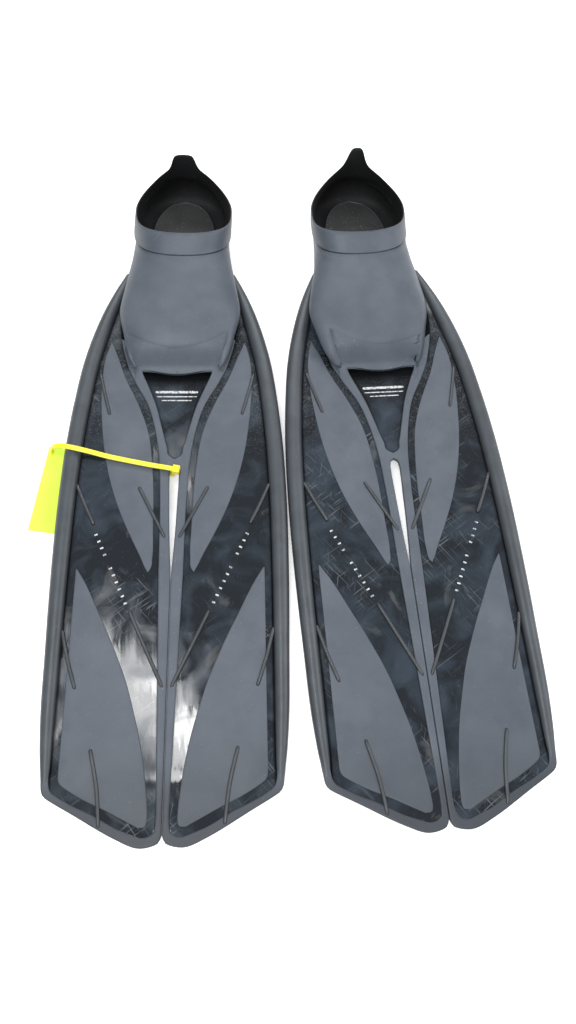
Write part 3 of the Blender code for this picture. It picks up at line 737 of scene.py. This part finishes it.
leaf = {  # (y, x) like the blade's lines
    "rows": [(216.5, 240, 24), (244, 440, 50), (442, 452, 8)], "radius": 1.0, "drop": 0.75,
    "inner": [(216.5, 19.2), (219, 17.5), (230, 15.9), (255, 16.3), (314, 19.1), (354, 25), (385, 36.2),
              (411, 48.3), (440, 58.6), (452, 63.6)],
    "outer": [(216.5, 19.8), (219, 21.3), (231, 26.9), (252, 37.2), (275, 47.3), (300, 55.9), (329, 63),
              (366, 68.4), (404, 70.8), (434, 69.2), (446, 66.4), (452, 64.6)],
}


def leafPanel(fin, half, side):
    inner, outer = ([(read(leaf[edge], y), y) for y in stations(*leaf["rows"])] for edge in ("inner", "outer"))
    panel = ribbon(f"{fin}_{half}_leaf", fin, sided(inner, side), sided(outer, side), blade["panelHalf"],
                   leaf["radius"], panelRubber, leaf["drop"], middle=5)
    return acrossFlex(panel)


tipShape = {  # lines are (x, y), the slope beside the split and round the foot, the outer side and the lower corner
    "radius": 1.2, "drop": 0.8, "darkerFrom": 110, "darkerOver": 90,
    "slope": [(79.6, 220.6), (77.6, 218), (71.8, 209), (65.8, 197.5), (56, 177), (46.8, 158), (34, 128),
              (26.8, 105.4), (19.7, 79.6), (15, 55.5), (11.9, 33.8), (10.9, 20)],
    "foot": [(10.9, 20), (12.4, 15), (17.9, 14.6)],
    "side": [(79.7, 220.6), (80.4, 214), (80.4, 130), (80.6, 56)],
    "corner": [(80.6, 56), (79.9, 48.5), (75, 43.7), (60.4, 35.2), (43.9, 27.5), (29.8, 20.5), (17.9, 14.6)],
}


def tipPad(fin, half, side):
    slope = evenly(smoothThrough(tipShape["slope"], 5), 60) + evenly(smoothThrough(tipShape["foot"], 6), 8)[1:]
    outer = evenly(smoothThrough(tipShape["side"], 12), 36) + evenly(smoothThrough(tipShape["corner"], 8), 32)[1:]
    panel = ribbon(f"{fin}_{half}_tipPanel", fin, sided(slope, side), sided(outer, side), blade["panelHalf"],
                   tipShape["radius"], tipRubber, tipShape["drop"], middle=5)
    # darker towards the tip
    shadeAndGrime = [unit((tipShape["darkerFrom"] - p.y) / tipShape["darkerOver"]) for p in localPoints(panel, fin)]
    setValues(panel, "shadeAndGrime", shadeAndGrime)
    return acrossFlex(panel)


railRows = [(38, 60, 10), (66, 190, 20), (196, 240, 24), (246, 534, 64)]


def sideRail(fin, half, side):
    ys = stations(*railRows)
    centres = [(side * read(blade["rail"], y), y, 0) for y in ys]
    radii = [read(blade["railRadius"], y) for y in ys]
    rail = tube(f"{fin}_{half}_rail", fin, centres, radii, railRubber, 24, blade["railFlat"])
    # painted shade on the flanks, none on the crown, so the crown reads as lit
    shadeAndGrime = []
    for p in localPoints(rail, fin):
        crown = p.z / (read(blade["railRadius"], min(max(p.y, ys[0]), ys[-1])) * blade["railFlat"])
        shadeAndGrime.append(unit(1.12 - crown * 1.25))
    setValues(rail, "shadeAndGrime", shadeAndGrime)
    return acrossFlex(rail)


rib = {
    "radius": 1.6, "lift": 2.35, "sink": 0.9, "sides": 12, "onFoot": ("upper", "outer", "inner"),
    "lines": {  # (x, y)
        "upper": [(72.5, 416), (67.4, 395), (61.4, 372.6)], "outer": [(85.2, 299), (76.6, 279), (68.4, 262)],
        "inner": [(30.2, 296), (18.4, 272.4), (6.6, 249)], "long": [(32.7, 181.4), (18.6, 151), (4.0, 120)],
        "side": [(86.6, 166), (80.4, 142), (73.2, 120)], "tip": [(57.0, 71), (50.6, 44), (47.2, 16.5)],
    },
}


def ribRod(fin, half, side, name):
    # a low rod whose ends sink into the panel
    line = smoothThrough(rib["lines"][name], 8)
    ends = [abs(2 * i / (len(line) - 1) - 1) for i in range(len(line))]
    centres = [(p[0] * side, p[1], rib["lift"] - rib["sink"] * end ** 6) for p, end in zip(line, ends)]
    rod = tube(f"{fin}_{half}_{name}Rib", fin, centres, [rib["radius"]] * len(line), ribPlastic, rib["sides"])
    # painted shade on the rod's lower sides, none on its top
    heights = [(p.z - rib["lift"] + 0.3) / rib["radius"] for p in localPoints(rod, fin)]
    setValues(rod, "shadeAndGrime", [unit(1.25 - 1.5 * height) for height in heights])
    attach(rod, fin + "_foot" if name in rib["onFoot"] else f"{fin}_{half}_tip")
    return rod


for fin, facts in fins.items():
    for half, side in facts["halves"].items():
        strip = frameStrip(fin, half, side)
        plate = plateHalf(fin, half, side)
        panel = leafPanel(fin, half, side)
        tip = tipPad(fin, half, side)
        rail = sideRail(fin, half, side)
        prefix = f"{fin}_{half}_"
        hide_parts(prefix + "edge_trim", *([fin + "_y_frame"] if half == "inboard" else []))
        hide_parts(prefix + "blade_tip", *([fin + "_blade_root"] if half == "inboard" else []))
        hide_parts(prefix + "leaf_panel")
        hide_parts(prefix + "tip_panel")
        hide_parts(prefix + "rail_root", prefix + "rail_tip")
        for name in rib["lines"]:
            rod = ribRod(fin, half, side, name)
            if name != "tip":
                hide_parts(prefix + name + "_rib")
print("blades ready")


def wallPiece(name, fin, outer, inner, outside, inside):
    # an open wall: outer rings up, inner rings back down, with the inner faces in their own finish
    rings = outer + inner[::-1]
    count = len(outer[0])
    faces = gridFaces(len(rings), count)
    last = (len(rings) - 1) * count
    faces += [(last + k, last + (k + 1) % count, (k + 1) % count, k) for k in range(count)]
    piece = newPiece(name, fin, [tuple(p) for ring in rings for p in ring], faces, outside, sharp=55)
    piece.data.materials.append(inside)
    for face in piece.data.polygons:
        row = face.index // count
        face.material_index = 1 if len(outer) <= row < len(rings) - 1 else 0
    return piece


def sideDarkening(k, sides):
    # darker and browner where the wall turns down beside the neck
    angle = 2 * math.pi * k / sides
    return math.exp(-((math.pi - abs(angle - math.pi) - 1.05) / 0.42) ** 2)


def footPocket(fin, lean):
    steps = pocket["smoothing"]
    fine = pocketRings(steps)
    boxes = np.interp(np.arange(len(fine)) / steps, *pocket["boxy"])
    fronts = np.interp(np.arange(len(fine)) / steps, pocket["frontFrom"], [1.0, 1.0, cuff["front"]])
    depth, spread = pocket["seamGroove"]
    outer, inner, shadeAndGrime = [], [], []
    for row in range(1, len(fine)):
        groove = depth * math.exp(-((row - (len(fine) - 1)) / spread) ** 2)
        ring, boxy, front = fine[row], boxes[row], fronts[row]
        near = max(1 - (len(fine) - 1 - row) / 13, 0)
        sag = cuff["sag"][0] * near * near
        line = wallRing(ring, groove, boxy, lean, pocket["sides"], front=front, sag=sag)
        tucked = wallRing(ring, pocket["tuck"], boxy, lean, pocket["sides"], front=front, sag=sag)
        for k, p in enumerate(line):
            # in front of the toe seam the wall sinks below the bridge of the arms
            share = unit((seamY(p.x) - p.y) / 3 + 0.4) if p.z > 4 else 0
            share *= domeAt(p.x, p.y, lean)[1]
            line[k] = p.lerp(tucked[k], share)
            under = min(line[k].z, bridgeHeight(p.x, p.y, blade["frameHalf"], lean) - 1.2)
            line[k].z += (under - line[k].z) * share
            shadeAndGrime.append(sideDarkening(k, pocket["sides"]) * min(near * 2.2, 1))
        outer.append(line)
        lining = wallRing(ring, pocket["wall"], boxy, lean, pocket["sides"], front=front, sag=sag)
        for above, below in zip(line, lining):
            if above.y < pocket["toeEnd"] and above.z > 0:
                below.z = min(below.z, above.z - pocket["toeLining"])
        inner.append(lining)
    piece = wallPiece(fin + "_pocket", fin, outer, inner, softRubber, insideShadeRubber)
    setValues(piece, "shadeAndGrime", shadeAndGrime + [0] * len(shadeAndGrime))
    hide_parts(fin + "_foot_pocket")
    return onFoot(piece, fin)


def tabRise(offset, tab, pointed):
    # the rim climbs to the heel and carries the pull tab on top
    half, height = tab
    climb, reach = cuff["heelRise"]
    wide = climb * math.exp(-(abs(offset) / reach) ** 3)
    if pointed:
        return wide + (height - climb) / (1 + (abs(offset) / (half * 0.8)) ** 4.5)
    return wide + (height - climb) / (1 + (abs(offset) / half) ** 9)


def ankleCuff(fin, facts):
    lean = facts["lean"]
    tab, wall, rimWall = facts["tab"], cuff["wall"], cuff["rimWall"]
    fine = smoothThrough(cuff["rings"], cuff["smoothing"])
    last = len(fine) - 1
    outerRows, innerRows = [], []
    for i, ring in enumerate(fine[:-1]):
        share = i / last
        groove = 0.5 * math.exp(-(i / 0.45) ** 2) - 0.35 * math.exp(-((i - 1) / 0.8) ** 2)
        outerRows.append((ring, groove, share, 0.0))
        innerRows.append((ring, wall + (rimWall - wall) * share, share, 0.0))
    for inset, drop in ((0.0, -0.8), (rimWall * 0.18, -0.25), (rimWall * 0.42, 0.0)):
        outerRows.append((fine[-1], inset, 1.0, drop))
        innerRows.append((fine[-1], rimWall - inset, 1.0, drop))
    made = []
    for group in (outerRows, innerRows):
        rings = []
        for ring, inset, share, drop in group:
            boxy = cuff["boxy"] + (cuff["back"] - cuff["boxy"]) * share
            sag = cuff["sag"][0] + (cuff["sag"][1] - cuff["sag"][0]) * share
            front = cuff["front"] * (1 + cuff["boxy"]) / (1 + boxy)
            points = wallRing(ring, inset, boxy, lean, cuff["sides"], crowd=cuff["crowd"], front=front, sag=sag)
            for p in points:
                middleX = sideways(p, lean)
                behind = unit((p.y - 600) / 25)
                lift = tabRise(p.x - middleX, tab, tab[1] > 30) * behind
                p.z += lift * max(2 * share - 1, 0) + drop
            rings.append(points)
        made.append(rings)
    piece = wallPiece(fin + "_cuff", fin, made[0], made[1], softRubber, insideShadeRubber)
    darkSides = [sideDarkening(k, cuff["sides"]) * 0.8 for k in range(cuff["sides"])]
    setValues(piece, "shadeAndGrime", darkSides * len(made[0]) + [0] * (cuff["sides"] * len(made[1])))
    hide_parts(fin + "_ankle_cuff")
    return onFoot(piece, fin)


# widths are (y, half width); each pad is its first y, last y, share of the width and squareness of its ends
sole = {
    "widths": [(425, 44), (450, 51), (482, 57), (515, 53), (548, 48.5), (600, 47), (670, 42)],
    "bed": (452, 660, 0.74, 3.6), "bedHalf": 1.25, "bedRadius": 1.5, "bedAbove": 2.1,
    "ridge": (540, 657, 0.74, 2.6), "ridgeFrom": 590, "ridgeIn": 0.93, "ridgeUp": 1.1, "ridgeRadius": 0.6,
    "out": (446, 662, 0.8, 5.5), "outHalf": 1.75, "outRadius": 1.6, "outBelow": 2.15,
}


def soleOutline(start, end, share, power):
    steps = 32
    right = []
    for k in range(steps + 1):
        u = k / steps
        y = start + (end - start) * u
        rounding = max(1 - abs(2 * u - 1) ** power, 0.0) ** 0.5
        right.append((share * read(sole["widths"], y) * max(rounding, 0.02), y))
    return right + [(-x, y) for x, y in right[::-1]]


def footbed(fin):
    def lift(y):
        return soleHeight(y) + pocket["wall"] + sole["bedAbove"] + sole["bedHalf"]
    bed = pad(fin + "_footbedPad", fin, soleOutline(*sole["bed"]), sole["bedHalf"], sole["bedRadius"],
              footbedRubber, 0.8, lift)
    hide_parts(fin + "_footbed")
    onFoot(bed, fin)
    line = [(x * sole["ridgeIn"], y, lift(y) + sole["ridgeUp"])
            for x, y in soleOutline(*sole["ridge"])[4:-4] if y > sole["ridgeFrom"]]
    bead = tube(fin + "_footbedRidge", fin, line, [sole["ridgeRadius"]] * len(line), ridgeRubber, 10)
    onFoot(bead, fin)


def outsole(fin):
    def lift(y):
        return soleHeight(y) - sole["outBelow"]
    under = pad(fin + "_sole", fin, soleOutline(*sole["out"]), sole["outHalf"], sole["outRadius"],
                soleRubber, 0.9, lift)
    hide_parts(fin + "_outsole")
    onFoot(under, fin)


for fin, facts in fins.items():
    footPocket(fin, facts["lean"])
    ankleCuff(fin, facts)
    footbed(fin)
    outsole(fin)
print("foot pockets ready")


# the plate inside the vent with its printed bars, each as y, half length and half width
vent = {
    "top": 436, "foot": 326.5, "rows": 40, "under": 1.0, "wider": 3.2,
    "bars": [(396.2, 20.0, 1.3), (391.2, 19.0, 0.55), (387.0, 14.0, 0.55)],
}
# a row of printed dashes with one left out between the two groups
dashes = {"from": (65.4, 251.5), "to": (36.8, 189.5), "groups": (4, 6), "length": 2.9, "width": 1.5}
mark = {"corners": 16, "roundness": 0.3, "thickness": 0.06}


def flatMark(name, fin, centre, half, turn, height, body):
    # a thin printed bar with rounded ends
    n, power = mark["corners"], mark["roundness"]
    corners = []
    for k in range(n):
        x, y = math.cos(2 * math.pi * k / n), math.sin(2 * math.pi * k / n)
        corners.append((math.copysign(abs(x) ** power, x) * half[0], math.copysign(abs(y) ** power, y) * half[1]))
    c, s = math.cos(turn), math.sin(turn)
    points = [(centre[0] + x * c - y * s, centre[1] + x * s + y * c, height + lift)
              for lift in (0.0, mark["thickness"]) for x, y in corners]
    faces = [tuple(range(n - 1, -1, -1)), tuple(range(n, 2 * n))]
    faces += [(k, (k + 1) % n, n + (k + 1) % n, n + k) for k in range(n)]
    piece = newPiece(name, fin, points, faces, markPaint)
    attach(piece, body)


def ventShade(x, y):
    # shadow below the lip and along the two arms
    lip = unit((y - 398) / 12)
    return max(lip, unit(1 - (insideEdge(y) - x) / 1.6) * 0.8)


def ventPlate(fin):
    ys = np.linspace(vent["foot"], vent["top"], vent["rows"])
    right = [(insideEdge(y) + vent["under"] + vent["wider"] * unit((y - 400) / 10), y) for y in ys]
    left = [(-x, y) for x, y in right]
    plate = ribbon(fin + "_ventPlate", fin, left, right, blade["plateHalf"], 0.4, ventPlastic, 0.05, middle=9)
    local = localPoints(plate, fin)
    setValues(plate, "dust", [0.6 * unit((p.y - 385) / 20) for p in local])
    setValues(plate, "groove", [ventShade(abs(p.x), p.y) for p in local])
    onFoot(plate, fin)
    for i, (y, half, thick) in enumerate(vent["bars"]):
        flatMark(f"{fin}_ventBar{i}", fin, (0, y), (half, thick), 0, blade["plateHalf"], fin + "_foot")


def dashRow(fin, half, side):
    (ax, ay), (bx, by) = dashes["from"], dashes["to"]
    total = sum(dashes["groups"]) + 1
    turn = math.atan2(by - ay, bx - ax) + math.pi / 2
    for i in range(total):
        if i == dashes["groups"][0]:
            continue
        share = i / (total - 1)
        centre = (side * (ax + (bx - ax) * share), ay + (by - ay) * share)
        body = f"{fin}_{half}_tip" if centre[1] < blade["flex"] else fin + "_foot"
        size = (dashes["length"] / 2, dashes["width"] / 2)
        flatMark(f"{fin}_{half}_dash{i}", fin, centre, size, side * turn, blade["plateHalf"], body)


for fin, facts in fins.items():
    ventPlate(fin)
    for half, side in facts["halves"].items():
        dashRow(fin, half, side)
print("plate details ready")


# the path is (distance outboard, height) round one half of the left blade, closed
tie = {
    "width": 4.5, "thickness": 1.6, "start": (0, 312.9), "slant": 12.4, "corner": 0.35,
    "path": [(0.6, -4.6), (0.4, 0), (-0.4, 5.4), (6, 5.9), (24, 4.8), (58, 5.4), (78, 8.4), (93, 9.9), (104, 9.0),
             (112, 4), (115, -3), (115.4, -9.2), (113.6, -13), (106, -14.2), (84, -12.6), (58, -9), (24, -6.2), (5, -5.8)],
    "head": (6.6, 5.6, 7.2), "headAt": (-2.0, 5.5), "headBevel": 0.12,
}
tagShape = {
    "width": 26, "length": 82, "thickness": 0.6, "droop": 4.0, "turn": 9.0, "at": (115.3, -9.2),
    "beside": 4.5, "above": 5.5, "columns": 14, "rows": 40, "wave": 0.12,
}


def tiePoint(u, z, across=0.0):
    # u runs outboard from the slot, across is along the strap's width
    slant = math.radians(tie["slant"])
    x0, y0 = tie["start"]
    c, s = math.cos(slant), math.sin(slant)
    return (x0 - u * c - across * s, y0 + u * s - across * c, z)


def cableTie():
    path = [tuple(p) for p in smoothThrough(tie["path"], 10, closed=True)]
    count = len(path)
    half, thick = tie["width"] / 2, tie["thickness"] / 2
    flat = half - tie["corner"]
    section = [(-half, -thick * 0.7), (-half, thick * 0.7), (-flat, thick), (0, thick * 1.05), (flat, thick),
               (half, thick * 0.7), (half, -thick * 0.7), (flat, -thick), (0, -thick), (-flat, -thick)]
    points = []
    for i, (u, z) in enumerate(path):
        before, after = Vector(path[i - 1]), Vector(path[(i + 1) % count])
        along = (after - before).normalized()
        normal = Vector((-along.y, along.x))
        for across, out in section:
            p = Vector((u, z)) + normal * out
            points.append(tiePoint(p.x, p.y, across))
    n = len(section)
    last = (count - 1) * n
    faces = gridFaces(count, n)
    faces += [(last + k, last + (k + 1) % n, (k + 1) % n, k) for k in range(n)]
    strap = newPiece("left_tieStrap", "left", points, faces, nylon, sharp=35)
    onFoot(strap, "left")
    length, height, width = tie["head"]
    u0, z0 = tie["headAt"]
    shape = bmesh.new()
    bmesh.ops.create_cube(shape, size=1)
    corners = []
    bmesh.ops.bevel(shape, geom=shape.edges[:], offset=tie["headBevel"], segments=3, affect="EDGES", profile=0.6)
    for v in shape.verts:
        corners.append(tiePoint(u0 + v.co.x * length, z0 + v.co.y * height, v.co.z * width))
    faces = [tuple(v.index for v in f.verts) for f in shape.faces]
    shape.free()
    head = newPiece("left_tieHead", "left", corners, faces, nylon, sharp=50)
    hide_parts("left_cable_tie")
    onFoot(head, "left")


def hangTag():
    # a slightly wavy sheet that hangs from the tie and lies on the floor
    width, length, half = tagShape["width"], tagShape["length"], tagShape["thickness"] / 2
    x0, y0, z0 = tiePoint(*tagShape["at"])
    droop, turn = math.radians(tagShape["droop"]), -math.radians(tagShape["turn"])
    columns, rows = tagShape["columns"], tagShape["rows"]
    points, faces = [], []
    for face in (1, -1):
        for r in range(rows):
            for c in range(columns):
                x = -tagShape["beside"] + width * c / (columns - 1)
                y = -(length - tagShape["above"]) + length * r / (rows - 1)
                cornerX = min(c, columns - 1 - c) * width / (columns - 1)
                cornerY = min(r, rows - 1 - r) * length / (rows - 1)
                wave = tagShape["wave"] * math.sin(x * 0.3 + y * 0.06) * min(cornerX, cornerY, 4) / 4
                z = face * half + wave
                along = y * math.cos(droop) - z * math.sin(droop)
                up = y * math.sin(droop) + z * math.cos(droop)
                points.append((x0 + x * math.cos(turn) - along * math.sin(turn),
                               y0 + x * math.sin(turn) + along * math.cos(turn), z0 + up))
    size = columns * rows
    for r in range(rows - 1):
        for c in range(columns - 1):
            a = r * columns + c
            faces.append((a, a + 1, a + columns + 1, a + columns))
            faces.append((size + a, size + a + columns, size + a + columns + 1, size + a + 1))
    border = [c for c in range(columns)] + [r * columns + columns - 1 for r in range(1, rows)]
    border += [(rows - 1) * columns + c for c in range(columns - 2, -1, -1)]
    border += [r * columns for r in range(rows - 2, 0, -1)]
    for i, a in enumerate(border):
        b = border[(i + 1) % len(border)]
        faces.append((a, size + a, size + b, b))
    piece = newPiece("tagCardPiece", "left", points, faces, card, sharp=35)
    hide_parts("tag")
    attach(piece, "tag")


cableTie()
hangTag()
print("tie and tag ready")


stage = {
    "floorHalf": 3, "floorCells": 20, "world": 0.5,
    # place, size and power of each area light, all aimed at the origin
    "lights": {
        "overhead": ((-0.35, -1.15, 2.1), (1.6, 1.0), 34),
        "backFill": ((0.1, 1.75, 1.7), (1.8, 0.6), 20),
        "sideFill": ((1.7, 0.2, 1.3), (1.2, 1.2), 14),
    },
    # where each panel's reflection lands on the left fin in millimetres, its size and its power
    "mirrored": {
        "windowLeft": ((-22, 112, 1.6), (0.14, 0.37), 2.3), "windowRight": ((9, 100, 1.6), (0.045, 0.24), 0.46),
        "channelGleam": ((-85, 92, 1.6), (0.03, 0.30), 0.2), "armGleam": ((14, 308, 1.6), (0.02, 0.16), 0.11),
        "armGleamLeft": ((-16, 325, 1.6), (0.018, 0.07), 0.04),
    },
    "mirroredFrom": 1.2,
}
view = {
    "tilt": 23.78, "distance": 0.6945, "turn": -9.085, "roll": 6.478, "focal": 27.42,
    "middle": (0.00009, 0.00395), "across": 273.7,
}


def stageFloor():
    mesh = bpy.data.meshes.new("floor")
    cells, half = stage["floorCells"], stage["floorHalf"]
    cell = 2 * half / cells
    line = range(cells + 1)
    points = [(-half + cell * i, -half + cell * k, 0) for i in line for k in line]
    corners = [i * (cells + 1) + k for i in range(cells) for k in range(cells)]
    faces = [(a, a + cells + 1, a + cells + 2, a + 1) for a in corners]
    mesh.from_pydata(points, [], faces)
    floor = bpy.data.objects.new("floor", mesh)
    bpy.context.scene.collection.objects.link(floor)
    mesh.materials.append(plain("floorPaper"))


def areaLight(name, where, target, size, power):
    light = bpy.data.lights.new(name, "AREA")
    light.shape = "RECTANGLE"
    light.size, light.size_y = size
    light.energy = power
    item = bpy.data.objects.new(name, light)
    item.location = where
    item.rotation_euler = (Vector(target) - Vector(where)).to_track_quat("-Z", "Y").to_euler()
    bpy.context.scene.collection.objects.link(item)


def aimCamera():
    normal = (frames["left"].col[2].xyz + frames["right"].col[2].xyz).normalized()
    across = Vector((1, 0, 0))
    across = (across - normal * across.dot(normal)).normalized()
    along = normal.cross(across)
    middle = (place("left", 0, view["across"], 0) + place("right", 0, view["across"], 0)) / 2
    centre = middle - across * view["middle"][0] - along * view["middle"][1]
    spin = Matrix.Rotation(math.radians(view["turn"]), 3, normal)
    tilt = math.radians(view["tilt"])
    eye = centre + spin @ (along * -math.sin(tilt) + normal * math.cos(tilt)) * view["distance"]
    right = spin @ across
    up = spin @ (along * math.cos(tilt) + normal * math.sin(tilt))
    roll = math.radians(view["roll"])
    right, up = right * math.cos(roll) + up * math.sin(roll), up * math.cos(roll) - right * math.sin(roll)
    back = right.cross(up)
    data = bpy.data.cameras.new("camera")
    data.sensor_width = 36
    data.lens = view["focal"]
    data.clip_start, data.clip_end = 0.01, 50
    camera = bpy.data.objects.new("camera", data)
    camera.matrix_world = fromAxes(right, up, back, eye)
    bpy.context.scene.collection.objects.link(camera)
    bpy.context.scene.camera = camera


def lightWorld(strength):
    world = bpy.data.worlds.new("studio")
    world.use_nodes = True
    background = world.node_tree.nodes["Background"]
    background.inputs["Color"].default_value = (1, 1, 1, 1)
    background.inputs["Strength"].default_value = strength
    bpy.context.scene.world = world


def mirrorLight(name, fin, where, distance, size, power):
    # a panel placed so that its reflection in the plate lands at one place as the camera sees it
    camera = bpy.context.scene.camera
    target = place(fin, *where)
    normal = frames[fin].col[2].xyz
    ray = (target - camera.matrix_world.translation).normalized()
    bounced = ray - normal * 2 * ray.dot(normal)
    areaLight(name, target + bounced * distance, target, size, power)


stageFloor()
aimCamera()
lightWorld(stage["world"])
for name, (where, size, power) in stage["lights"].items():
    areaLight(name, where, (0, 0, 0), size, power)
for name, (where, size, power) in stage["mirrored"].items():
    mirrorLight(name, "left", where, stage["mirroredFrom"], size, power)
bpy.context.scene.view_settings.view_transform = "Standard"
print("stage ready")
